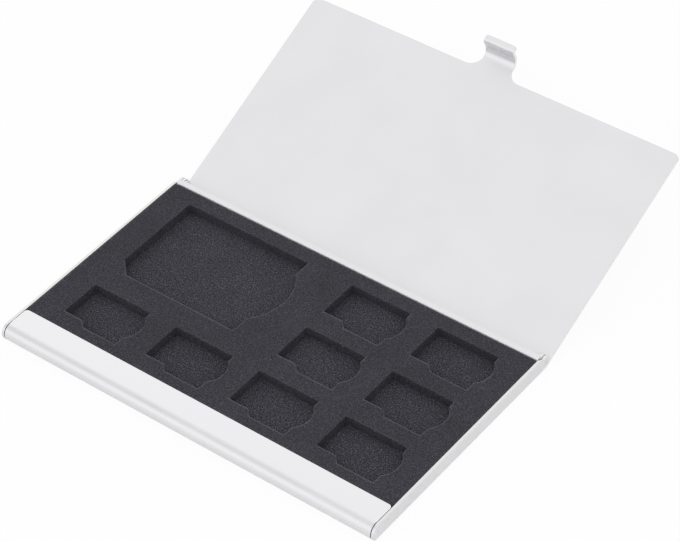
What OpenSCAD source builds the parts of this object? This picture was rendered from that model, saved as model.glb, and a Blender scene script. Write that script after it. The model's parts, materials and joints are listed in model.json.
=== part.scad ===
// Slim memory card case of folded aluminium sheet with a slotted foam lining, its lid leaning back.
// Millimetres. X runs across the case, Y from its rounded nose to its hinge, Z up.
// The origin is in the middle of the flat underside, on the resting surface. Outlines are drawn from the
// front of the nose, and placed() moves them there.

/* [Tray] */
// Thickness of the aluminium sheet
sheet_t = 0.6; // [0.4:0.05:0.8]
// Outside height of the tray, to the top of its walls and flap
tray_h = 4.1; // [3.8:0.1:8]
// Depth of the nose and the flap folded back over it
flap_d = 7.05; // [5.5:0.05:12]
// Radius of the flap's rear corners
flap_corner_r = 0.8; // [0.2:0.1:2]
// Outside radius of the bend between the floor and a side wall
wall_bend_r = 1.2; // [0.9:0.1:1.5]
// Gap between the rounded nose and a side wall
nose_gap = 0.2; // [0.1:0.05:0.8]
// Gap between the flat flap and a side wall
flap_gap = 0.12; // [0.05:0.01:0.3]

/* [Card slots] */
// Length of a small slot, across the case
micro_l = 14.9; // [13:0.1:18]
// Depth of a small slot at its wide end
micro_w = 10.9; // [10:0.1:13]
// Depth of a small slot at its narrow end
micro_neck_w = 9.4; // [8:0.1:9.9]
// Length of a small slot's narrow end
micro_neck_l = 4.9; // [3:0.1:8]
// Length of the slant from the narrow end to the wide end
micro_slant_l = 1.4; // [0:0.1:3]
// Width of a small slot's finger notch
micro_notch_w = 6.8; // [3:0.1:9]
// Depth of a small slot's finger notch
micro_notch_d = 1.55; // [0.5:0.05:2.5]
// Distance from a small slot's rear edge to the middle of its finger notch
micro_notch_at = 5.15; // [4.7:0.05:5.3]
// Length of the large slot, across the case
sd_l = 32; // [30:0.1:34]
// Depth of the large slot
sd_w = 24.1; // [22:0.1:25]
// Chamfer on the large slot's front left corner
sd_chamfer = 3.4; // [1:0.1:5]
// Width of the large slot's finger notch
sd_notch_w = 15.6; // [8:0.1:20]
// Depth of the large slot's finger notch
sd_notch_d = 3.2; // [1:0.1:4]

/* [Foam] */
// Foam left between neighbouring small slots across the case
col_web = 6.85; // [3:0.05:12]
// Foam left between rows of slots
row_web = 4.05; // [3:0.05:10]
// Foam left outside the first and last columns of slots
side_margin = 6.8; // [3:0.1:15]
// Foam left between the flap and the front row of slots
front_margin = 2.65; // [1:0.05:10]
// Foam left behind the rear row of slots
back_margin = 3.6; // [2:0.1:10]
// Thickness of the slotted foam sheet
insert_t = 2.3; // [1:0.05:2.6]
// Thickness of the adhesive film
film_t = 0.15; // [0.05:0.01:0.2]
// Distance of the adhesive film's edge inside the backing's edge
film_inset = 1; // [0.5:0.1:5]

/* [Lid] */
// Angle of the lid from closed
lid_open = 156.2; // [0:0.1:180]
// Distance of the lid's side edges inside the tray's sides
lid_inset = 0.45; // [0.05:0.05:0.5]
// Distance from the nose's front to the closed lid's free edge
lid_edge_y = 4.4; // [4.2:0.05:5.4]
// Radius of the lid's free corners
lid_corner_r = 1.2; // [0.5:0.1:6]
// Width of the tab
tab_w = 7.6; // [5:0.1:20]
// Radius of the fillets beside the tab
tab_fillet_r = 3.1; // [2.4:0.1:4]
// Length of the tab's straight neck, before its first bend
neck_straight = 0.2; // [0.1:0.05:0.4]
// Length of the tab's finger lip beyond its bend
lip_l = 0.8; // [0.5:0.05:2]
// Radius of the lip's corners
lip_corner_r = 0.5; // [0.1:0.05:0.5]
// Inside radius of the bend between the tab and its lip
lip_bend_r = 0.3; // [0.15:0.05:0.3]
// Height of the lip above the resting surface, with the lid closed
lip_lift = 0.12; // [0.06:0.01:0.15]
// Radius of the latch bump where it leaves the tab
bump_base_r = 0.45; // [0.25:0.05:0.45]
// Height of the latch bump
bump_h = 0.2; // [0.1:0.01:0.3]

/* [Hinge] */
// Radius of a hinge pin
pin_r = 0.6; // [0.4:0.05:0.8]
// Radius of a hinge pin's inner head
pin_head_r = 1.1; // [0.9:0.05:1.3]
// Thickness of a hinge pin's inner head
pin_head_t = 0.35; // [0.2:0.05:0.6]
// Radius of a wall's lobe round its pin
lobe_r = 1.25; // [1.1:0.05:1.6]
// Radius of an ear's eye round its pin
ear_eye_r = 1.25; // [1.15:0.05:1.6]
// Angle that an ear runs on under the panel
ear_run_a = 20; // [5:1:40]
// Angle that an ear stops short of the curl's free end
ear_short_a = 10; // [5:1:40]
// Angle of the curl that is as wide as the lid
curl_wide_a = 34; // [20:1:40]
// Angle that the foot of a wall's lobe stays clear of the open lid
lobe_clear_a = 6; // [3:1:10]

/* [Clearances] */
// Foam sheet to wall or flap
foam_fit = 0.05; // [0.02:0.01:0.2]
// Closed lid to walls and flap, and tab to nose
lid_gap = 0.05; // [0.03:0.01:0.1]
// Curl to the resting surface
ground_gap = 0.05; // [0.02:0.01:0.1]
// Curl to foam and floor
curl_gap = 0.3; // [0.25:0.05:0.4]
// Ear to side wall
ear_gap = 0.15; // [0.1:0.01:0.3]
// Hinge pin to its hole in an ear
pin_gap = 0.05; // [0.02:0.01:0.1]
// Hinge pin's head to an ear
head_gap = 0.1; // [0.05:0.01:0.2]

/* [Hidden] */
$fn = 96;
slip = 1;
aluminium_tint = "#dcdce0";
pin_tint = "#b9babd";
foam_tint = "#45434b";
backing_tint = "#2f2d34";
film_tint = "#d8d2bd";
// Slots stand in a grid of columns and rows, and the large one takes the rear left corner of it
columns = 4;
rows = 3;
col_pitch = micro_l + col_web;
row_pitch = micro_w + row_web;
slots_w = columns * micro_l + (columns - 1) * col_web;
slots_d = rows * micro_w + (rows - 1) * row_web;
foam_w = slots_w + 2 * side_margin;
inner_w = foam_w + 2 * foam_fit;
tray_w = inner_w + 2 * sheet_t;
backing_w = tray_w - 2 * wall_bend_r;
// The nose is half round, so its radius is half of the tray's height
nose_r = tray_h / 2;
tab_in_r = nose_r + lid_gap;
// The axis is as low as lets the curl turn all the way round above the resting surface
hinge_z = (tray_h + sheet_t + lid_gap + ground_gap) / 2;
axis_depth = tray_h - hinge_z;
curl_in_r = axis_depth + lid_gap;
curl_out_r = curl_in_r + sheet_t;
curl_clear_r = curl_out_r + curl_gap;
foam_front_y = flap_d + foam_fit;
slots_back_y = foam_front_y + front_margin + slots_d;
foam_back_y = slots_back_y + back_margin;
hinge_y = hundredth_up(foam_back_y + sqrt(pow(curl_clear_r, 2) - pow(axis_depth, 2)));
floor_end_y = hinge_y - sqrt(pow(curl_clear_r, 2) - pow(hinge_z - sheet_t, 2));
lobe_foot_a = 90 - curl_wide_a - lobe_clear_a;
lobe_foot_y = hinge_y - hinge_z / tan(lobe_foot_a);
shoulder_z = hinge_z + lobe_r / 2;
insert_z = tray_h - insert_t;
backing_z = sheet_t + film_t;
lid_w = tray_w - 2 * lid_inset;
lid_z = tray_h + lid_gap;
ear_x = inner_w / 2 - ear_gap;
neck_l = lid_edge_y - nose_r;
fillet_x = tab_w / 2 + sqrt(pow(tab_fillet_r, 2) - pow(tab_fillet_r - neck_l + neck_straight, 2));
tab_in_y = nose_r - tab_in_r;
tab_out_y = tab_in_y - sheet_t;
lip_bend_y = tab_out_y - lip_bend_r;
lip_bend_z = lip_lift + sheet_t + lip_bend_r;
// The latch bump is a slice of a ball, half way up the tab's flat front
bump_ball_r = (pow(bump_base_r, 2) + pow(bump_h, 2)) / (2 * bump_h);
bump_y = tab_in_y + bump_h - bump_ball_r;
bump_z = (lip_bend_z + nose_r) / 2;
pin_in_x = ear_x - sheet_t - head_gap - pin_head_t;
underside_y = (nose_r + floor_end_y) / 2;

function hundredth_up(length) = ceil(100 * length) / 100;

// Moves what is drawn from the front of the nose so that the middle of the underside is at the origin
module placed() {
  translate([0, -underside_y, 0]) children();
}

// Extrudes an outline drawn in Y and Z across the case, centred on X
module across(width) {
  translate([-width / 2, 0, 0]) rotate([90, 0, 90]) linear_extrude(width) children();
}

// Sector of a circle about the outline's origin, from angle a to angle b
module sector(r, a, b) {
  intersection() {
    circle(r);
    polygon([[0, 0], for (i = [0:8]) 2 * r * [cos(a + (b - a) * i / 8), sin(a + (b - a) * i / 8)]]);
  }
}

// Bent strip of sheet about the outline's origin, from angle a to angle b
module bend(r, a, b) {
  difference() {
    sector(r + sheet_t, a, b);
    circle(r);
  }
}

// Rectangle on the outline's X axis with both bottom corners rounded
module round_footed(width, height, r) {
  translate([-width / 2, r]) square([width, height - r]);
  translate([-width / 2 + r, 0]) square([width - 2 * r, height]);
  for (side = [-1, 1]) translate([side * (width / 2 - r), r]) circle(r);
}

// Rectangle from y to y + depth, centred on X, with the corners at its low (-1) or high (1) end rounded
module round_ended(width, y, depth, r, end) {
  far_y = end > 0 ? y + depth : y;
  translate([-width / 2, end > 0 ? y : y + r]) square([width, depth - r]);
  translate([-width / 2 + r, y]) square([width - 2 * r, depth]);
  for (side = [-1, 1]) translate([side * (width / 2 - r), far_y - end * r]) circle(r);
}

// Circle that bulges by depth past the outline's Y axis, over a chord of the given width
module finger_notch(width, depth) {
  r = (pow(width / 2, 2) + pow(depth, 2)) / (2 * depth);
  translate([depth - r, 0]) circle(r);
}

// Side of a wall in Y and Z: a front that follows the nose, and behind the foam a shoulder that slopes down to
// a lobe round the hinge axis
module wall_side() {
  translate([nose_r, nose_r]) circle(nose_r);
  polygon([[nose_r, 0], [lobe_foot_y, 0], [hinge_y, hinge_z], [hinge_y, shoulder_z], [foam_back_y, tray_h],
           [nose_r, tray_h]]);
  translate([hinge_y, hinge_z]) circle(lobe_r);
}

// Floor, side walls and the bends between them, the full length of the case
module folded_channel() {
  length = hinge_y + lobe_r;
  translate([0, length, 0]) rotate([90, 0, 0]) linear_extrude(length) difference() {
    round_footed(tray_w, tray_h, wall_bend_r);
    translate([0, sheet_t]) round_footed(inner_w, tray_h, wall_bend_r - sheet_t);
  }
}

// Ball that presses the latch bump, and with a gap the dimple that takes it
module latch_ball(gap) {
  translate([0, bump_y, bump_z]) sphere(bump_ball_r + gap);
}

module nose_and_flap() {
  difference() {
    across(inner_w - 2 * nose_gap) translate([nose_r, nose_r]) bend(nose_r - sheet_t, 90, 270);
    latch_ball(lid_gap);
  }
  translate([0, 0, tray_h - sheet_t]) linear_extrude(sheet_t)
    round_ended(inner_w - 2 * flap_gap, nose_r, flap_d - nose_r, flap_corner_r, 1);
}

module base_tray() {
  placed() color(aluminium_tint) {
    difference() {
      intersection() {
        folded_channel();
        union() {
          for (side = [-1, 1])
            translate([side * (inner_w + sheet_t) / 2, 0, 0]) across(sheet_t) wall_side();
          translate([-inner_w / 2, nose_r, 0]) cube([inner_w, floor_end_y - nose_r, tray_h]);
        }
      }
      translate([0, hinge_y, hinge_z]) rotate([0, 90, 0])
        cylinder(r = pin_r, h = tray_w + 2 * slip, center = true);
    }
    nose_and_flap();
  }
}

// One slot for a small card, with its rear left corner at the outline's origin
module micro_slot() {
  polygon([[0, 0], [micro_l, 0], [micro_l, -micro_w], [micro_neck_l + micro_slant_l, -micro_w],
           [micro_neck_l, -micro_neck_w], [0, -micro_neck_w]]);
  translate([micro_l, -micro_notch_at]) finger_notch(micro_notch_w, micro_notch_d);
}

// The slot for a large card, with its rear left corner at the outline's origin
module sd_slot() {
  polygon([[0, 0], [sd_l, 0], [sd_l, -sd_w], [sd_chamfer, -sd_w], [0, sd_chamfer - sd_w]]);
  translate([sd_l, -sd_w / 2]) finger_notch(sd_notch_w, sd_notch_d);
}

// The large slot fills the first two columns of the first two rows, and a small slot every other place
module slot_outlines() {
  translate([-slots_w / 2, slots_back_y]) {
    sd_slot();
    for (column = [0:columns - 1], row = [0:rows - 1])
      if (column > 1 || row > 1) translate([column * col_pitch, -row * row_pitch]) micro_slot();
  }
}

// Foam sheet from front_y back to the curl, which it clears with a hollow rear face
module foam_sheet(width, front_y, z, thickness) {
  across(width) difference() {
    translate([front_y, z]) square([foam_back_y - front_y, thickness]);
    translate([hinge_y, hinge_z]) circle(curl_clear_r);
  }
}

module foam_insert() {
  placed() color(foam_tint) difference() {
    foam_sheet(foam_w, foam_front_y, insert_z, insert_t);
    translate([0, 0, insert_z - slip]) linear_extrude(insert_t + 2 * slip) slot_outlines();
  }
}

module foam_backing() {
  placed() color(backing_tint) foam_sheet(backing_w, nose_r, backing_z, insert_z - backing_z);
}

module adhesive_sheet() {
  front_y = nose_r + film_inset;
  placed() color(film_tint) translate([-backing_w / 2 + film_inset, front_y, sheet_t])
    cube([backing_w - 2 * film_inset, floor_end_y - film_inset - front_y, film_t]);
}

// Outline of the closed lid's flat panel, with its neck down to the tab's first bend
module panel_outline() {
  round_ended(lid_w, lid_edge_y, hinge_y - lid_edge_y, lid_corner_r, -1);
  translate([-tab_w / 2, nose_r]) square([tab_w, neck_l + slip]);
  difference() {
    translate([-fillet_x, nose_r]) square([2 * fillet_x, neck_l + slip]);
    for (side = [-1, 1]) translate([side * fillet_x, lid_edge_y - tab_fillet_r]) circle(tab_fillet_r);
  }
}

// Tab of the closed lid: round the nose, down in front of it, and out to the level finger lip
module tab() {
  across(tab_w) {
    translate([nose_r, nose_r]) bend(tab_in_r, 90, 180);
    polygon([[tab_out_y, lip_bend_z], [tab_in_y, lip_bend_z], [tab_in_y, nose_r], [tab_out_y, nose_r]]);
    translate([lip_bend_y, lip_bend_z]) bend(lip_bend_r, -90, 0);
  }
  translate([0, 0, lip_lift]) linear_extrude(sheet_t)
    round_ended(tab_w, lip_bend_y - lip_l, lip_l, lip_corner_r, -1);
  intersection() {
    latch_ball(0);
    translate([-bump_ball_r, tab_in_y - sheet_t / 2, bump_z - bump_ball_r]) cube(2 * bump_ball_r);
  }
}

// Lid as it lies when closed
module closed_lid() {
  translate([0, 0, lid_z]) linear_extrude(sheet_t) panel_outline();
  tab();
  translate([0, hinge_y, hinge_z]) difference() {
    union() {
      across(lid_w) bend(curl_in_r, 90 - curl_wide_a, 90);
      across(2 * ear_x) bend(curl_in_r, -90, 90 - curl_wide_a);
      for (side = [-1, 1]) translate([side * (ear_x - sheet_t / 2), 0, 0]) across(sheet_t) {
        sector(curl_out_r, ear_short_a - 90, 90 + ear_run_a);
        circle(ear_eye_r);
      }
    }
    rotate([0, 90, 0]) cylinder(r = pin_r + pin_gap, h = lid_w, center = true);
  }
}

module lid() {
  placed() color(aluminium_tint) translate([0, hinge_y, hinge_z]) rotate([-lid_open, 0, 0])
    translate([0, -hinge_y, -hinge_z]) closed_lid();
}

// Pin from its head inside an ear out to the outer face of the right wall
module hinge_pin() {
  placed() color(pin_tint) translate([pin_in_x, hinge_y, hinge_z]) rotate([0, 90, 0]) {
    cylinder(r = pin_r, h = tray_w / 2 - pin_in_x);
    cylinder(r = pin_head_r, h = pin_head_t);
  }
}

module hinge_pin_left() { mirror([1, 0, 0]) hinge_pin(); }
module hinge_pin_right() { hinge_pin(); }

base_tray();
lid();
hinge_pin_left();
hinge_pin_right();
foam_insert();
foam_backing();
adhesive_sheet();
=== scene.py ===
"""Slim memory card case: folded satin aluminium tray and leaning lid, with a die-cut charcoal foam lining.

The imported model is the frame. Its pins and its film keep their own meshes, the folded sheet gets softened
edges, and the two foam sheets are made here. Metres, X across the case, Y from the nose to the hinge, Z up,
with the origin in the middle of the flat underside.
"""
import json
import math

import bmesh
import bpy
import numpy as np
from bpy.props import FloatProperty, FloatVectorProperty, PointerProperty
from mathutils import Matrix, Vector
from mathutils.geometry import delaunay_2d_cdt


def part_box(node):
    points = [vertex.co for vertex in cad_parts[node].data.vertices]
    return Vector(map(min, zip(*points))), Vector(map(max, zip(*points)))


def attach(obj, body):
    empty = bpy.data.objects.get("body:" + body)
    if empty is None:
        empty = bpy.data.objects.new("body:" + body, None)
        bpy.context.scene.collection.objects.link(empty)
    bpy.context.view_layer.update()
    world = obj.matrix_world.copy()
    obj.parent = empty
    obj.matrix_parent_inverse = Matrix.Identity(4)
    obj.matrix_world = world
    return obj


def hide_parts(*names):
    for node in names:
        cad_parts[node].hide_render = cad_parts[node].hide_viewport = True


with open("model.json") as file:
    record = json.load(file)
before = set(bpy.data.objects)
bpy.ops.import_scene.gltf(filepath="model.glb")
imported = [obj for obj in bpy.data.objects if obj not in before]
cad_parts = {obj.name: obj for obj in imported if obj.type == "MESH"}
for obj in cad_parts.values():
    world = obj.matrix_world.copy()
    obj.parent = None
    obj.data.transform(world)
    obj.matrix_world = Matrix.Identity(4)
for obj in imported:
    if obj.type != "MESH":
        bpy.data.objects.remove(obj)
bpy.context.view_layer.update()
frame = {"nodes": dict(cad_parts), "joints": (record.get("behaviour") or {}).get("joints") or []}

bl_info = {
    "name": "Memory card case",
    "version": (1, 0, 0),
    "blender": (4, 5, 0),
    "location": "3D View > Sidebar > Card case",
    "description": "Dresses a folded aluminium memory card case with a slotted foam lining",
    "category": "Object",
}

MM = 0.001
WHITE = (1.0, 1.0, 1.0, 1.0)


def linear(hex_colour):
    """sRGB colour such as "#45434b" as linear red, green, blue and alpha, by the sRGB transfer curve."""
    srgb = np.array([int(hex_colour[i:i + 2], 16) for i in (1, 3, 5)]) / 255
    low = srgb / 12.92
    high = ((srgb + 0.055) / 1.055) ** 2.4
    return (*(float(v) for v in np.where(srgb <= 0.04045, low, high)), 1.0)


def length(name, description, millimetres, **limits):
    """Property for a length, whose default is given in millimetres."""
    return FloatProperty(name=name, description=description, default=millimetres * MM, unit="LENGTH",
                         precision=5, **limits)


def colour(name, description, hex_colour):
    """Property for a colour, whose default is an sRGB hex value."""
    return FloatVectorProperty(name=name, description=description, default=linear(hex_colour)[:3],
                               subtype="COLOR", min=0.0, max=1.0)


# Sizes and colours

class CardCaseMetal(bpy.types.PropertyGroup):
    edge_radius: length("Edge radius", "Rounding of the sheared edges of the sheet", 0.16)
    sheet_colour: colour("Sheet colour", "Satin anodised aluminium", "#e3e2e4")
    sheet_roughness: FloatProperty(name="Sheet roughness", description="Roughness of the blasted surface",
                                   default=0.46, min=0.0, max=1.0, subtype="FACTOR")
    rim_colour: colour("Rim colour", "Sheared and blasted rim of the tray", "#d9d9d7")
    # The lid's edges are paler than the sheet: a painted highlight along its thin sheared edges
    edge_highlight_colour: colour("Edge colour", "Edges of the lid, paler as a painted highlight", "#f1f1ef")
    edge_roughness: FloatProperty(name="Edge roughness", description="Roughness of the sheared edges",
                                  default=0.4, min=0.0, max=1.0, subtype="FACTOR")
    grain: length("Blast grain", "Spacing of the grain that blasting leaves in the sheet", 0.16)
    pin_colour: colour("Pin colour", "Turned stainless steel", "#d6d7da")


class CardCaseFoam(bpy.types.PropertyGroup):
    top_colour: colour("Foam colour", "Slotted sheet of charcoal polyethylene foam", "#323137")
    backing_colour: colour("Backing colour", "Sheet of foam under the slots", "#302f35")
    cell: length("Cell size", "Mean size of a cut foam cell", 0.3)
    rim_radius: length("Rim radius", "Rounding of the cut edge at the top of the foam", 0.22)
    cut_wander: length("Cut wander", "How far the cut edge wanders from a straight line", 0.035)
    corner_radius: length("Corner radius", "Radius of the die at the corners of a slot", 0.3)
    sheet_corner: length("Sheet corner", "Rounding of the corners of both foam sheets", 0.9)
    small_l: length("Small slot length", "Length of a small slot, across the case", 14.9)
    small_w: length("Small slot depth", "Depth of a small slot at its wide end", 10.9)
    small_neck_w: length("Narrow end depth", "Depth of a small slot at its narrow end", 9.4)
    small_neck_l: length("Narrow end length", "Length of a small slot's narrow end", 4.9)
    small_slant_l: length("Slant length", "Length of the slant from the narrow end to the wide end", 1.4)
    small_notch_w: length("Small notch width", "Width of a small slot's finger notch", 6.8)
    small_notch_d: length("Small notch depth", "Depth of a small slot's finger notch", 1.55)
    small_notch_at: length("Small notch place", "Rear edge of a small slot to its notch's middle", 5.15)
    large_l: length("Large slot length", "Length of the large slot, across the case", 32.0)
    large_w: length("Large slot depth", "Depth of the large slot", 24.1)
    large_chamfer: length("Large slot chamfer", "Chamfer on the large slot's front left corner", 3.4)
    large_notch_w: length("Large notch width", "Width of the large slot's finger notch", 15.6)
    large_notch_d: length("Large notch depth", "Depth of the large slot's finger notch", 3.2)
    col_web: length("Column web", "Foam between neighbouring small slots across the case", 6.85)
    row_web: length("Row web", "Foam between rows of slots", 4.05)
    back_margin: length("Back margin", "Foam left behind the rear row of slots", 3.6)
    rear_hollow_r: length("Rear hollow radius", "Radius of the hollow rear face about the hinge", 2.65)


class CardCaseStage(bpy.types.PropertyGroup):
    floor_colour: colour("Floor colour", "Pale studio floor", "#f6f6f6")
    key_power: FloatProperty(name="Key light", description="Power of the softbox over the camera",
                             default=1.6, min=0.0, unit="POWER")
    back_power: FloatProperty(name="Back light", description="Power of the large weak light, back left",
                              default=0.72, min=0.0, unit="POWER")
    front_power: FloatProperty(name="Front light", description="Power of the low weak light, front left",
                               default=0.2, min=0.0, unit="POWER")
    surround: FloatProperty(name="Surround", description="Strength of the even light on matt surfaces",
                            default=0.85, min=0.0, max=2.0)
    ring: FloatProperty(name="Ring", description="Strength that metal mirrors from 24 degrees up",
                        default=1.18, min=0.0, max=2.0)
    flag: FloatProperty(name="Flag", description="Strength of the grey card that the nose mirrors",
                        default=0.8, min=0.0, max=1.0)
    focal_length: FloatProperty(name="Focal length", description="Camera lens in millimetres",
                                default=148.81, min=1.0, unit="CAMERA")


class CardCase(bpy.types.PropertyGroup):
    metal: PointerProperty(type=CardCaseMetal)
    foam: PointerProperty(type=CardCaseFoam)
    stage: PointerProperty(type=CardCaseStage)


# Materials

# Noise stays mostly between these two values
NOISE = {"From Min": 0.3, "From Max": 0.7}


def add(tree, kind, settings=(), links=()):
    """Adds a node with its settings, which are attributes or input values by name, and its links, which are
    output sockets by the name or number of the input that they go into."""
    node = tree.nodes.new(kind)
    for key, value in dict(settings).items():
        if isinstance(key, str) and hasattr(node, key):
            setattr(node, key, value)
        else:
            node.inputs[key].default_value = value
    for key, socket in dict(links).items():
        tree.links.new(socket, node.inputs[key])
    return node


def blank_material(name):
    """Material with an empty node tree."""
    material = bpy.data.materials.new(name)
    material.use_nodes = True
    material.node_tree.nodes.clear()
    return material


def satin_aluminium(name, tint_colour, roughness, metal):
    """Anodised aluminium sheet, blasted before it was anodised: an even silvery white with a soft, wide
    highlight and no visible rolling direction. The blast grain is finer than a pixel of the picture. A
    sheared edge has the same finish in a tone of its own, and is a little smoother."""
    patch = 14 * MM
    grain_height = 0.01 * MM
    uneven = 0.03
    material = blank_material(name)
    tree = material.node_tree
    place = add(tree, "ShaderNodeTexCoord").outputs["Object"]
    grain = add(tree, "ShaderNodeTexNoise", {"Scale": 1 / metal.grain, "Detail": 2.0, "Roughness": 0.6},
                {"Vector": place})
    # Handling leaves patches of a slightly different sheen, a finger's width across
    patches = add(tree, "ShaderNodeTexNoise", {"Scale": 1 / patch, "Detail": 3.0}, {"Vector": place})
    tone = add(tree, "ShaderNodeMapRange", {**NOISE, "To Min": 0.975, "To Max": 1.0},
               {"Value": patches.outputs["Fac"]})
    tint = add(tree, "ShaderNodeMix", {"data_type": "RGBA", "blend_type": "MULTIPLY", 0: 1.0,
                                       6: (*tint_colour, 1.0)}, {7: tone.outputs["Result"]})
    sheen = add(tree, "ShaderNodeMapRange",
                {**NOISE, "To Min": roughness - uneven, "To Max": roughness + uneven},
                {"Value": patches.outputs["Fac"]})
    relief = add(tree, "ShaderNodeBump", {"Strength": 0.12, "Distance": grain_height},
                 {"Height": grain.outputs["Fac"]})
    metallic = add(tree, "ShaderNodeBsdfPrincipled", {"Metallic": 1.0},
                   {"Base Color": tint.outputs[2], "Roughness": sheen.outputs["Result"],
                    "Normal": relief.outputs["Normal"]})
    add(tree, "ShaderNodeOutputMaterial", (), {"Surface": metallic.outputs["BSDF"]})
    return material


def turned_steel(metal):
    """Stainless steel pin, turned on a lathe: a grey mirror broken by fine rings round its axis, along X. The
    wave texture repeats 20 / (2 pi) times for each unit of its scale, so this scale sets the tool marks a
    fifth of a millimetre apart."""
    ring_scale = 1 / (0.1 * MM) / (2 * math.pi)
    mark_height = 0.005 * MM
    material = blank_material("turned stainless steel")
    tree = material.node_tree
    place = add(tree, "ShaderNodeTexCoord").outputs["Object"]
    rings = add(tree, "ShaderNodeTexWave", {"bands_direction": "X", "Scale": ring_scale, "Distortion": 0.6},
                {"Vector": place})
    relief = add(tree, "ShaderNodeBump", {"Strength": 0.2, "Distance": mark_height},
                 {"Height": rings.outputs["Fac"]})
    metallic = add(tree, "ShaderNodeBsdfPrincipled",
                   {"Metallic": 1.0, "Roughness": 0.28, "Base Color": (*metal.pin_colour, 1.0)},
                   {"Normal": relief.outputs["Normal"]})
    add(tree, "ShaderNodeOutputMaterial", (), {"Surface": metallic.outputs["BSDF"]})
    return material


def cut_foam(name, base, cell, contrast, rim_light):
    """Closed-cell polyethylene foam, sliced and die-cut: matt charcoal, in which each sliced cell is a tiny
    cup with a paler ragged rim that catches the light. Along the rounded top of a cut edge, a point
    attribute of the mesh adds a painted highlight. contrast says how much darker than the base the cups are
    and how much paler the rims, and rim_light how bright the painted highlight of a cut edge is."""
    cloud_size = 7 * MM
    fleck_size = 0.9 * cell
    cup_depth = 0.05 * MM
    darkest = 1 - 0.45 * contrast
    palest = 1 + 4.5 * contrast
    material = blank_material(name)
    tree = material.node_tree
    place = add(tree, "ShaderNodeTexCoord").outputs["Object"]
    cells = add(tree, "ShaderNodeTexVoronoi", {"feature": "DISTANCE_TO_EDGE", "Scale": 1 / cell},
                {"Vector": place})
    flecks = add(tree, "ShaderNodeTexNoise", {"Scale": 1 / fleck_size, "Detail": 2.0, "Roughness": 0.65},
                 {"Vector": place})
    cloud = add(tree, "ShaderNodeTexNoise", {"Scale": 1 / cloud_size, "Detail": 2.0}, {"Vector": place})
    # A pale rim runs round each cell, and only where a fleck of fibre stands up does it catch the light
    rim = add(tree, "ShaderNodeMapRange",
              {"From Min": 0.0, "From Max": 0.16, "To Min": 1.0, "To Max": 0.25},
              {"Value": cells.outputs["Distance"]})
    fleck = add(tree, "ShaderNodeMapRange",
                {"From Min": 0.38, "From Max": 0.68, "To Min": 0.0, "To Max": 1.0},
                {"Value": flecks.outputs["Fac"]})
    caught = add(tree, "ShaderNodeMath", {"operation": "MULTIPLY"},
                 {0: rim.outputs["Result"], 1: fleck.outputs["Result"]})
    # Painted highlight along the rounded top of each cut edge, read from the mesh's point attribute
    highlight_amount = add(tree, "ShaderNodeAttribute", {"attribute_name": "painted_highlight"})
    # The painted highlight is broken up by the flecks and added to the pale cell rims
    flecked_highlight = add(tree, "ShaderNodeMath", {"operation": "MULTIPLY"},
                {0: highlight_amount.outputs["Fac"], 1: flecks.outputs["Fac"]})
    pale = add(tree, "ShaderNodeMath", {"operation": "MULTIPLY_ADD", 1: rim_light, "use_clamp": True},
               {0: flecked_highlight.outputs["Value"], 2: caught.outputs["Value"]})
    speckle = add(tree, "ShaderNodeMix",
                  {"data_type": "RGBA", 6: (*(c * darkest for c in base), 1.0),
                   7: (*(min(1.0, c * palest) for c in base), 1.0)}, {0: pale.outputs["Value"]})
    shade = add(tree, "ShaderNodeMapRange", {**NOISE, "To Min": 0.92, "To Max": 1.08},
                {"Value": cloud.outputs["Fac"]})
    tint = add(tree, "ShaderNodeMix", {"data_type": "RGBA", "blend_type": "MULTIPLY", 0: 1.0},
               {6: speckle.outputs[2], 7: shade.outputs["Result"]})
    cups = add(tree, "ShaderNodeMapRange",
               {"From Min": 0.0, "From Max": 0.3, "To Min": 1.0, "To Max": 0.0},
               {"Value": cells.outputs["Distance"]})
    relief = add(tree, "ShaderNodeBump", {"Strength": 0.7, "Distance": cup_depth},
                 {"Height": cups.outputs["Result"]})
    matt = add(tree, "ShaderNodeBsdfPrincipled",
               {"Roughness": 0.9, "IOR": 1.5, "Specular IOR Level": 0.2},
               {"Base Color": tint.outputs[2], "Normal": relief.outputs["Normal"]})
    add(tree, "ShaderNodeOutputMaterial", (), {"Surface": matt.outputs["BSDF"]})
    return material


def adhesive_film():
    """Double-sided acrylic tape: a clear, faintly yellow film with a dull sheen from its glue."""
    ripple_size = 2.5 * MM
    ripple_height = 0.02 * MM
    material = blank_material("acrylic adhesive film")
    tree = material.node_tree
    place = add(tree, "ShaderNodeTexCoord").outputs["Object"]
    ripple = add(tree, "ShaderNodeTexNoise", {"Scale": 1 / ripple_size, "Detail": 3.0}, {"Vector": place})
    tint = add(tree, "ShaderNodeMix", {"data_type": "RGBA", 6: linear("#cfc8b2"), 7: linear("#ded9c6")},
               {0: ripple.outputs["Fac"]})
    relief = add(tree, "ShaderNodeBump", {"Strength": 0.3, "Distance": ripple_height},
                 {"Height": ripple.outputs["Fac"]})
    film = add(tree, "ShaderNodeBsdfPrincipled", {"Roughness": 0.42, "IOR": 1.47},
               {"Base Color": tint.outputs[2], "Normal": relief.outputs["Normal"]})
    add(tree, "ShaderNodeOutputMaterial", (), {"Surface": film.outputs["BSDF"]})
    return material


def paint(obj, *materials):
    """Gives an object its materials, in the order of its faces' material numbers."""
    numbers = np.zeros(len(obj.data.polygons), dtype=np.int32)
    obj.data.polygons.foreach_get("material_index", numbers)
    obj.data.materials.clear()
    for material in materials:
        obj.data.materials.append(material)
    obj.data.polygons.foreach_set("material_index", np.minimum(numbers, len(materials) - 1))


# Shapes

def piece(name, mesh, body, slot, *nodes):
    """Links a mesh as a piece of the case: it rides on a body and stands for the nodes."""
    obj = bpy.data.objects.new(name, mesh)
    bpy.context.scene.collection.objects.link(obj)
    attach(obj, body)
    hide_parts(*nodes)
    return obj


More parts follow.
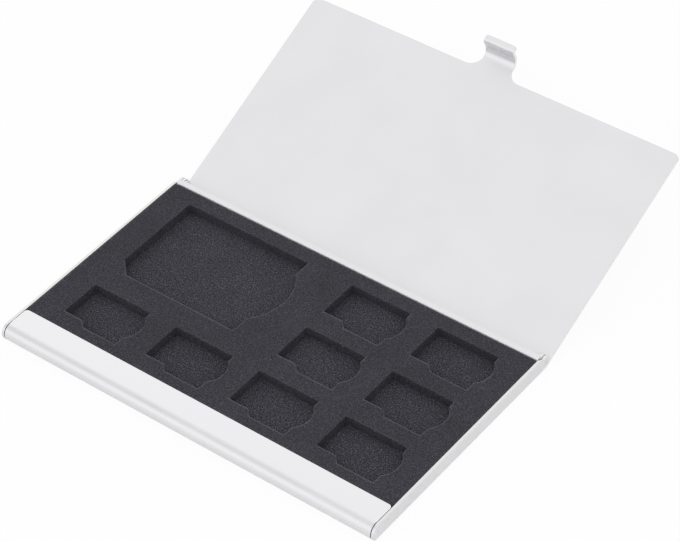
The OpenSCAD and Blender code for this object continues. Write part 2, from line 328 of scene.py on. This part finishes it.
def soft_edged(name, node, body, edge_radius):
    """Copy of a folded sheet's solid with every sheared edge rounded by edge_radius. The copy's loose
    triangles are merged, and those of one flat face become one face, so that the rounding follows the real
    edges. A face is a sheared one where its area over half its rim's length, which is about its width, is
    hardly more than the sheet's thickness, and its edges are sharp nearly all round. Those faces and the
    rounding get the second material."""
    sharp = math.radians(35)
    flat = math.radians(0.4)
    touching = 0.001 * MM
    narrow = 0.66 * MM
    nearly_all = 0.8
    bm = bmesh.new()
    bm.from_mesh(frame["nodes"][node].data)
    bmesh.ops.remove_doubles(bm, verts=bm.verts, dist=touching)
    bmesh.ops.dissolve_limit(bm, angle_limit=flat, verts=bm.verts, edges=bm.edges)
    for face in bm.faces:
        rim = sum(edge.calc_length() for edge in face.edges)
        turned = sum(edge.calc_length() for edge in face.edges if edge.calc_face_angle(0) > sharp)
        face.material_index = int(face.calc_area() < narrow * rim / 2 and turned > nearly_all * rim)
    mesh = bpy.data.meshes.new(name)
    bm.to_mesh(mesh)
    bm.free()
    mesh.shade_smooth()
    obj = piece(name, mesh, body, "satin_aluminium", node)
    bevel = obj.modifiers.new("rounded edges", "BEVEL")
    bevel.width = edge_radius
    bevel.segments = 3
    bevel.limit_method = "ANGLE"
    bevel.angle_limit = sharp
    bevel.material = 1
    # A large flat face stays evenly lit right up to the bend or the rounding that it runs into
    level = obj.modifiers.new("level faces", "WEIGHTED_NORMAL")
    level.mode = "FACE_AREA"
    level.weight = 100
    return obj


def rounded_corners(points, radius, steps=4):
    """Closed outline whose every corner is a parabola from radius before the corner to radius after it:
    (1-u)^2 a + 2u(1-u) corner + u^2 b, with u from 0 to 1. A corner becomes steps + 1 points."""
    before = np.roll(points, 1, axis=0) - points
    after = np.roll(points, -1, axis=0) - points
    a = points + before * radius / np.linalg.norm(before, axis=1, keepdims=True)
    b = points + after * radius / np.linalg.norm(after, axis=1, keepdims=True)
    u = np.linspace(0, 1, steps + 1)[None, :, None]
    curves = (1 - u) ** 2 * a[:, None] + 2 * u * (1 - u) * points[:, None] + u ** 2 * b[:, None]
    return curves.reshape(-1, 2)


def subdivided(points, step):
    """Closed outline with each side cut into equal parts no longer than step."""
    ends = np.roll(points, -1, axis=0)
    parts = np.maximum(1, np.ceil(np.linalg.norm(ends - points, axis=1) / step)).astype(int)
    side = np.repeat(np.arange(len(points)), parts)
    u = (np.arange(len(side)) - np.repeat(np.cumsum(parts) - parts, parts)) / parts[side]
    return points[side] + (ends - points)[side] * u[:, None]


def towards_foam(outline):
    """Direction from each point of a closed outline into the foam, which lies on its left: the mean of both
    sides' normals, lengthened so that it moves the sides evenly, up to a turn of 120 degrees."""
    along = np.roll(outline, -1, axis=0) - outline
    along /= np.linalg.norm(along, axis=1, keepdims=True)
    left = np.stack([-along[:, 1], along[:, 0]], axis=1)
    mean = left + np.roll(left, 1, axis=0)
    sharpest = 1 + math.cos(math.radians(120))
    return mean / np.maximum(sharpest, (mean * mean).sum(axis=1, keepdims=True) / 2)


def wandering(outline, into, wander, number):
    """Closed outline, moved along into by wander times a sum of three sines of the distance along it, each
    with a whole number of waves. The outline's number shifts them, so that no two slots wander alike."""
    wave_lengths = np.array([5.1, 2.3, 1.1]) * MM
    shares = [0.5, 0.3, 0.2]
    phases = 1.7 * number + np.array([0.3, 2.1, 4.4])
    distance = np.cumsum(np.linalg.norm(outline - np.roll(outline, 1, axis=0), axis=1))
    turns = 2 * math.pi * distance / distance[-1]
    waves = np.round(distance[-1] / wave_lengths)
    offset = wander * (np.sin(waves * turns[:, None] + phases) * shares).sum(axis=1)
    return outline + into * offset[:, None]


def wall_profile(top, bottom, rim):
    """Profile of a foam sheet's wall, from the top face down: a flat lip, a quarter circle of radius rim,
    which lies rim (1 - sin t) in and rim (1 - cos t) down with t from 0 to a right angle, then straight
    down. Gives each point's inset from the cut, its height, its tilt t and its share of a painted highlight."""
    lip = 0.14 * MM
    steps = 5
    turn = np.linspace(0, math.pi / 2, steps)
    down = np.linspace(top - rim, bottom, steps + 1)[1:]
    inset = np.concatenate([[rim + lip], rim * (1 - np.sin(turn)), np.zeros(len(down))])
    heights = np.concatenate([[top], top - rim * (1 - np.cos(turn)), down])
    tilt = np.concatenate([[0], turn, np.full(len(down), math.pi / 2)])
    # Share of the painted highlight: none on the lip, most where the rounding starts, none down the wall
    highlight_share = np.concatenate([[0], np.cos(turn) ** 0.5, np.zeros(len(down))])
    return inset, heights, tilt, highlight_share


def inside(points, outline):
    """Whether each point lies inside a closed outline, by counting the sides that a line to its right
    crosses."""
    x, y = points[:, 0, None], points[:, 1, None]
    x0, y0 = outline[:, 0], outline[:, 1]
    x1, y1 = np.roll(x0, -1), np.roll(y0, -1)
    with np.errstate(divide="ignore", invalid="ignore"):
        crossing = x0 + (y - y0) / (y1 - y0) * (x1 - x0)
    return (((y0 > y) != (y1 > y)) & (x < crossing)).sum(axis=1) % 2 == 1


def next_points(outlines):
    """Number of the point that follows each point round its own closed outline, counted through all."""
    ends = np.cumsum([len(outline) for outline in outlines])
    numbers = np.split(np.arange(ends[-1]), ends[:-1])
    return np.concatenate([np.roll(part, -1) for part in numbers])


def filled(outlines):
    """Triangles of the flat face inside the first closed outline and outside the others, by a Delaunay
    triangulation that keeps the outlines' sides. Points are numbered through all outlines."""
    convex_hull = 0
    tolerance = 1e-7
    flat = np.concatenate(outlines)
    sides = np.stack([np.arange(len(flat)), next_points(outlines)], axis=1)
    _, _, faces, sources, _, _ = delaunay_2d_cdt((flat / MM).tolist(), sides.tolist(), [], convex_hull,
                                                 tolerance)
    faces = np.array([source[0] for source in sources])[np.array(faces)]
    middle = flat[faces].mean(axis=1)
    kept = inside(middle, outlines[0])
    for hole in outlines[1:]:
        kept &= ~inside(middle, hole)
    return faces[kept]


def foam_slab(name, outlines, bottom, top, rim, wander, hollow):
    """Sheet of foam between two heights. Each closed outline has the foam on its left, and wall_profile is
    carried along it. hollow is the hinge's y and z and a radius: there the rear wall follows
    y = hinge_y - sqrt(radius^2 - (z - hinge_z)^2), and the side walls fade into it. A point attribute
    paints a highlight on the rounded top of each cut edge: most on cuts that face the rear and the left,
    where the back lamp is, by the cosine between the cut and that direction."""
    fade_length = 3 * MM
    # Painted highlight of the cut edges: a small share on every cut, the rest by how squarely the cut faces
    # the back left lamp
    toward_back_lamp = np.array([-0.55, 0.83])
    everywhere = 0.15
    least = 0.1
    hinge_y, hinge_z, radius = hollow

    def rear(z):
        return hinge_y - np.sqrt(radius ** 2 - (z - hinge_z) ** 2)

    inset, heights, tilt, highlight_share = wall_profile(top, bottom, rim)
    rows = len(heights)
    points, normals, highlight_amount, rims = [], [], [], []
    for number, outline in enumerate(outlines):
        into = towards_foam(outline)
        cut = wandering(outline, into, wander, number)
        ring = cut[:, None] + into[:, None] * inset[:, None]
        z = np.broadcast_to(heights, ring.shape[:2])
        fade = np.clip((ring[..., 1] - (rear(top) - fade_length)) / fade_length, 0, 1)
        y = ring[..., 1] - fade * (rear(top) - rear(z))
        points.append(np.stack([ring[..., 0], y, z], axis=-1).reshape(-1, 3))
        away = -into / np.linalg.norm(into, axis=1, keepdims=True)
        outwards = np.sin(tilt)[:, None] * away[:, None]
        upwards = np.broadcast_to(np.cos(tilt), outwards.shape[:2])[..., None]
        normals.append(np.concatenate([outwards, upwards], axis=-1).reshape(-1, 3))
        # Each point's painted highlight, strongest on cuts that face the back left lamp
        lamp_facing = np.clip(everywhere + (1 - everywhere) * (away @ toward_back_lamp), least, 1)
        highlight_amount.append((lamp_facing[:, None] * highlight_share).ravel())
        rims.append(ring[:, 0])
    points = np.concatenate(points)
    normals = np.concatenate(normals)

    here = np.arange(len(points) // rows)[:, None] * rows
    there = next_points(rims)[:, None] * rows
    row = np.arange(rows - 1)
    walls = np.stack([here + row + 1, there + row + 1, there + row, here + row], axis=-1).reshape(-1, 4)
    top_face = filled(rims) * rows
    underside = top_face[:, ::-1] + rows - 1

    mesh = bpy.data.meshes.new(name)
    mesh.from_pydata(points.tolist(), [], walls.tolist() + top_face.tolist() + underside.tolist())
    mesh.shade_smooth()
    corner_normals = np.concatenate([normals[walls.ravel()], np.tile([0.0, 0.0, 1.0], (top_face.size, 1)),
                                     np.tile([0.0, 0.0, -1.0], (underside.size, 1))])
    mesh.normals_split_custom_set(corner_normals.tolist())
    # The painted highlight goes to the shader as a point attribute
    mesh.attributes.new("painted_highlight", "FLOAT", "POINT").data.foreach_set(
        "value", np.concatenate(highlight_amount).astype(np.float32))
    return mesh


def notch(x, y, width, depth):
    """Arc of a finger notch that bulges by depth over a chord of the given width, from its rear end to its
    front end: a circle of radius ((width/2)^2 + depth^2) / (2 depth)."""
    steps = 15
    radius = ((width / 2) ** 2 + depth ** 2) / (2 * depth)
    half = math.asin(width / 2 / radius)
    angle = np.linspace(half, -half, steps)
    return np.stack([x + depth - radius + radius * np.cos(angle), y + radius * np.sin(angle)], axis=1)


def notched(corners, radius, bulge):
    """Outline of a slot, clockwise from its rear left corner, with its corners rounded and the finger notch
    set into its right side, between its second and its third corner."""
    steps = 4
    outline = rounded_corners(np.array(corners), radius, steps)
    rear = 2 * (steps + 1)
    return np.concatenate([outline[:rear], bulge, outline[rear:]])


def small_slot(foam):
    """Outline of a slot for a small card, clockwise from its rear left corner at the origin."""
    f = foam
    corners = [[0, 0], [f.small_l, 0], [f.small_l, -f.small_w],
               [f.small_neck_l + f.small_slant_l, -f.small_w], [f.small_neck_l, -f.small_neck_w],
               [0, -f.small_neck_w]]
    bulge = notch(f.small_l, -f.small_notch_at, f.small_notch_w, f.small_notch_d)
    return notched(corners, f.corner_radius, bulge)


def large_slot(foam):
    """Outline of the slot for a large card, clockwise from its rear left corner at the origin."""
    f = foam
    corners = [[0, 0], [f.large_l, 0], [f.large_l, -f.large_w], [f.large_chamfer, -f.large_w],
               [0, f.large_chamfer - f.large_w]]
    bulge = notch(f.large_l, -f.large_w / 2, f.large_notch_w, f.large_notch_d)
    return notched(corners, f.corner_radius, bulge)


def rectangle(low, high, radius):
    """Rectangle with rounded corners, counterclockwise."""
    return rounded_corners(np.array([[low[0], low[1]], [high[0], low[1]], [high[0], high[1]],
                                     [low[0], high[1]]]), radius)


def rear_hollow(foam):
    """The hinge's y and z, and the radius of the foam's hollow rear face about them."""
    hinge = frame["joints"][0]["pos_m"]
    return hinge[1], hinge[2], foam.rear_hollow_r


# Stage

def stage_sheet(name, low, high, height, material):
    """Level rectangle between two corners at one height, which belongs to the stage and not to the case."""
    mesh = bpy.data.meshes.new(name)
    mesh.from_pydata([(low[0], low[1], height), (high[0], low[1], height), (high[0], high[1], height),
                      (low[0], high[1], height)], [], [(0, 1, 2, 3)])
    sheet = bpy.data.objects.new(name, mesh)
    bpy.context.scene.collection.objects.link(sheet)
    paint(sheet, material)
    return sheet


def white_floor(stage):
    """Floor of matt white paper. Seen, it is nearly the background's white. Mirrored, it keeps more of the
    case's own shadow."""
    half = 3.0
    seen_white = 0.92
    mirrored_white = 0.5
    material = blank_material("matt white paper")
    tree = material.node_tree
    rays = add(tree, "ShaderNodeLightPath")
    seen = add(tree, "ShaderNodeMath", {"operation": "MAXIMUM"},
               {0: rays.outputs["Is Camera Ray"], 1: rays.outputs["Is Transmission Ray"]})
    mirrored = add(tree, "ShaderNodeMath", {"operation": "MULTIPLY", 1: mirrored_white},
                   {0: rays.outputs["Is Glossy Ray"]})
    share = add(tree, "ShaderNodeMath", {"operation": "MULTIPLY_ADD", 1: seen_white, "use_clamp": True},
                {0: seen.outputs[0], 2: mirrored.outputs[0]})
    paper = add(tree, "ShaderNodeBsdfDiffuse", {"Color": (*stage.floor_colour, 1.0)})
    white = add(tree, "ShaderNodeEmission", {"Color": WHITE, "Strength": 1.0})
    mixed = add(tree, "ShaderNodeMixShader", (),
                {0: share.outputs[0], 1: paper.outputs[0], 2: white.outputs[0]})
    add(tree, "ShaderNodeOutputMaterial", (), {"Surface": mixed.outputs[0]})
    stage_sheet("floor", (-half, -half), (half, half), 0, material)


def grey_card(stage):
    """Grey card over the nose. Mirrored in the metal, it draws the bend between the flap and the nose. Only
    mirrored rays meet it."""
    left = -0.10
    right = 0.07
    front = -0.0482
    rear = -0.0287
    height = 0.03
    material = blank_material("grey card")
    tree = material.node_tree
    grey = add(tree, "ShaderNodeEmission", {"Color": WHITE, "Strength": stage.flag})
    add(tree, "ShaderNodeOutputMaterial", (), {"Surface": grey.outputs[0]})
    card = stage_sheet("card", (left, front), (right, rear), height, material)
    card.visible_camera = False
    card.visible_diffuse = False
    card.visible_transmission = False
    card.visible_shadow = False


def studio_world(stage):
    """White behind the case, and an even light on its matt surfaces. Metal mirrors the world brightest from
    24 degrees up, as from a ring of softboxes, and less towards the horizon and the sky overhead. The z of
    a ray's way is the sine of that angle: 0 at the horizon and 1 overhead."""
    low_z = 0.1
    ring_z = 0.4
    high_z = 0.72
    low_strength = 1.02
    high_strength = 0.995
    world = bpy.data.worlds.new("studio")
    bpy.context.scene.world = world
    world.use_nodes = True
    tree = world.node_tree
    tree.nodes.clear()
    rays = add(tree, "ShaderNodeLightPath")
    seen = add(tree, "ShaderNodeMath", {"operation": "MAXIMUM"},
               {0: rays.outputs["Is Camera Ray"], 1: rays.outputs["Is Transmission Ray"]})
    way = add(tree, "ShaderNodeSeparateXYZ", (), {0: add(tree, "ShaderNodeTexCoord").outputs["Generated"]})
    rise = add(tree, "ShaderNodeMapRange",
               {"From Min": low_z, "From Max": ring_z, "To Min": low_strength, "To Max": stage.ring},
               {"Value": way.outputs["Z"]})
    fall = add(tree, "ShaderNodeMapRange",
               {"From Min": ring_z, "From Max": high_z, "To Min": stage.ring, "To Max": high_strength},
               {"Value": way.outputs["Z"]})
    height = add(tree, "ShaderNodeMath", {"operation": "MINIMUM"},
                 {0: rise.outputs["Result"], 1: fall.outputs["Result"]})
    mirrored = add(tree, "ShaderNodeMix", {"data_type": "FLOAT", 2: stage.surround},
                   {0: rays.outputs["Is Glossy Ray"], 3: height.outputs[0]})
    strength = add(tree, "ShaderNodeMix", {"data_type": "FLOAT", 3: 1.0},
                   {0: seen.outputs[0], 2: mirrored.outputs[0]})
    sky = add(tree, "ShaderNodeBackground", {"Color": WHITE}, {"Strength": strength.outputs[0]})
    add(tree, "ShaderNodeOutputWorld", (), {"Surface": sky.outputs[0]})


def soft_lamp(name, power, size, place):
    """Square softbox that faces the case from its place."""
    lamp = bpy.data.lights.new(name, "AREA")
    lamp.size = size
    lamp.energy = power
    light = bpy.data.objects.new(name, lamp)
    facing = Vector(place).to_track_quat("Z", "Y").to_matrix().to_4x4()
    light.matrix_world = Matrix.Translation(place) @ facing
    bpy.context.scene.collection.objects.link(light)


def case_camera(stage):
    """Camera that looks down at the case from the front right. Its own axes are right, up and back. Along
    them it stands aside, above and away, in millimetres, from a point just behind the tray's middle, so that
    the tray sits low and left in the picture, with room for the lid."""
    azimuth = math.radians(40.92)
    elevation = math.radians(42.93)
    roll = math.radians(-4.30)
    aside = 12.62
    above = 16.10
    away = 565.2
    about = [0, 1.8524, 0]
    back = np.array([math.sin(azimuth) * math.cos(elevation), -math.cos(azimuth) * math.cos(elevation),
                     math.sin(elevation)])
    level = np.array([math.cos(azimuth), math.sin(azimuth), 0.0])
    upright = np.cross(back, level)
    right = math.cos(roll) * level + math.sin(roll) * upright
    up = -math.sin(roll) * level + math.cos(roll) * upright
    place = (back * away + right * aside + up * above + about) * MM
    camera_data = bpy.data.cameras.new("camera")
    camera_data.sensor_width = 36.0
    camera_data.lens = stage.focal_length
    camera_data.clip_start = 0.05
    camera_data.clip_end = 20.0
    camera = bpy.data.objects.new("camera", camera_data)
    camera.matrix_world = Matrix([[right[i], up[i], back[i], place[i]] for i in range(3)] + [[0, 0, 0, 1]])
    bpy.context.scene.collection.objects.link(camera)
    bpy.context.scene.camera = camera


# Operators

class CARDCASE_OT_folded_sheet(bpy.types.Operator):
    """Makes the aluminium tray and lid, with softened edges and a satin finish"""
    bl_idname = "card_case.folded_sheet"
    bl_label = "Folded sheet"

    def execute(self, context):
        metal = context.scene.card_case.metal
        finish = satin_aluminium("satin anodised aluminium", metal.sheet_colour, metal.sheet_roughness,
                                 metal)
        rim = satin_aluminium("blasted aluminium rim", metal.rim_colour, metal.edge_roughness, metal)
        # The lid's edges take the paler tone, a painted highlight
        edge = satin_aluminium("aluminium edge with painted highlight", metal.edge_highlight_colour, metal.edge_roughness, metal)
        paint(soft_edged("tray_sheet", "base_tray", "tray_assembly", metal.edge_radius), finish, rim)
        paint(soft_edged("lid_sheet", "lid", "lid_assembly", metal.edge_radius), finish, edge)
        # The solids that these two stand for are hidden, and have the same finish
        for node in ("base_tray", "lid"):
            paint(frame["nodes"][node], finish)
        return {"FINISHED"}


class CARDCASE_OT_hinge_pins(bpy.types.Operator):
    """Finishes both hinge pins in turned steel"""
    bl_idname = "card_case.hinge_pins"
    bl_label = "Hinge pins"

    def execute(self, context):
        finish = turned_steel(context.scene.card_case.metal)
        for node in ("hinge_pin_left", "hinge_pin_right"):
            paint(frame["nodes"][node], finish)
        return {"FINISHED"}


class CARDCASE_OT_slotted_foam(bpy.types.Operator):
    """Makes the foam sheet with nine card slots"""
    bl_idname = "card_case.slotted_foam"
    bl_label = "Slotted foam"

    def execute(self, context):
        foam = context.scene.card_case.foam
        rows = 3
        columns = 4
        step = 0.7 * MM
        low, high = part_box("foam_insert")
        column_pitch = foam.small_l + foam.col_web
        row_pitch = foam.small_w + foam.row_web
        left = -(columns * foam.small_l + (columns - 1) * foam.col_web) / 2
        rear = high[1] - foam.back_margin
        # The large slot takes the room of four small ones at the rear left
        outlines = [rectangle(low, high, foam.sheet_corner), large_slot(foam) + [left, rear]]
        outlines += [small_slot(foam) + [left + column * column_pitch, rear - row * row_pitch]
                     for row in range(rows) for column in range(columns) if column > 1 or row > 1]
        outlines = [subdivided(outline, step) for outline in outlines]
        mesh = foam_slab("slotted_foam", outlines, low[2], high[2], rim=foam.rim_radius,
                         wander=foam.cut_wander, hollow=rear_hollow(foam))
        sheet = piece("slotted_foam", mesh, "tray_assembly", "charcoal_foam", "foam_insert")
        # The slotted sheet's cut edges carry the painted highlight
        paint(sheet, cut_foam("charcoal polyethylene foam", foam.top_colour, foam.cell, contrast=0.6,
                              rim_light=1.6))
        return {"FINISHED"}


class CARDCASE_OT_foam_backing(bpy.types.Operator):
    """Makes the plain foam sheet that lines the floor under the slots"""
    bl_idname = "card_case.foam_backing"
    bl_label = "Foam backing"

    def execute(self, context):
        foam = context.scene.card_case.foam
        step = 1.5 * MM
        low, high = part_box("foam_backing")
        outline = subdivided(rectangle(low, high, foam.sheet_corner), step)
        mesh = foam_slab("foam_floor", [outline], low[2], high[2], rim=0.08 * MM, wander=0.0,
                         hollow=rear_hollow(foam))
        sheet = piece("foam_floor", mesh, "tray_assembly", "black_foam", "foam_backing")
        # Seen between the cuts, the backing's cells are a little larger and its flecks stronger
        paint(sheet, cut_foam("charcoal foam backing", foam.backing_colour, 1.1 * foam.cell, contrast=1.1,
                              rim_light=0.0))
        return {"FINISHED"}


class CARDCASE_OT_adhesive(bpy.types.Operator):
    """Finishes the adhesive film under the foam"""
    bl_idname = "card_case.adhesive"
    bl_label = "Adhesive film"

    def execute(self, context):
        paint(frame["nodes"]["adhesive_sheet"], adhesive_film())
        return {"FINISHED"}


class CARDCASE_OT_stage(bpy.types.Operator):
    """Sets the pale floor, the soft light and the camera"""
    bl_idname = "card_case.stage"
    bl_label = "Stage"

    def execute(self, context):
        stage = context.scene.card_case.stage
        context.scene.view_settings.view_transform = "Standard"
        white_floor(stage)
        grey_card(stage)
        studio_world(stage)
        soft_lamp("key", stage.key_power, size=0.5, place=(0.45, -0.55, 0.75))
        soft_lamp("back", stage.back_power, size=1.0, place=(-0.85, 0.80, 0.80))
        soft_lamp("front", stage.front_power, size=0.6, place=(-0.55, -0.85, 0.32))
        case_camera(stage)
        return {"FINISHED"}


class CARDCASE_PT_panel(bpy.types.Panel):
    """Lists the case's sizes and colours with the operators that use them"""
    bl_label = "Memory card case"
    bl_idname = "CARDCASE_PT_panel"
    bl_space_type = "VIEW_3D"
    bl_region_type = "UI"
    bl_category = "Card case"

    def draw(self, context):
        case = context.scene.card_case
        for title, group, operators in (
                ("Metal", case.metal, (CARDCASE_OT_folded_sheet, CARDCASE_OT_hinge_pins)),
                ("Foam", case.foam, (CARDCASE_OT_slotted_foam, CARDCASE_OT_foam_backing,
                                     CARDCASE_OT_adhesive)),
                ("Stage", case.stage, (CARDCASE_OT_stage,))):
            box = self.layout.box()
            box.label(text=title)
            for name in group.__annotations__:
                box.prop(group, name)
            for operator in operators:
                box.operator(operator.bl_idname)


CLASSES = (CardCaseMetal, CardCaseFoam, CardCaseStage, CardCase, CARDCASE_OT_folded_sheet,
           CARDCASE_OT_hinge_pins, CARDCASE_OT_slotted_foam, CARDCASE_OT_foam_backing, CARDCASE_OT_adhesive,
           CARDCASE_OT_stage, CARDCASE_PT_panel)


def register():
    for cls in CLASSES:
        bpy.utils.register_class(cls)
    bpy.types.Scene.card_case = PointerProperty(type=CardCase)


def unregister():
    del bpy.types.Scene.card_case
    for cls in reversed(CLASSES):
        bpy.utils.unregister_class(cls)


def main():
    register()
    bpy.ops.card_case.stage()
    bpy.ops.card_case.folded_sheet()
    bpy.ops.card_case.hinge_pins()
    bpy.ops.card_case.slotted_foam()
    bpy.ops.card_case.foam_backing()
    bpy.ops.card_case.adhesive()
    bpy.context.view_layer.update()


if __name__ == "__main__":
    main()
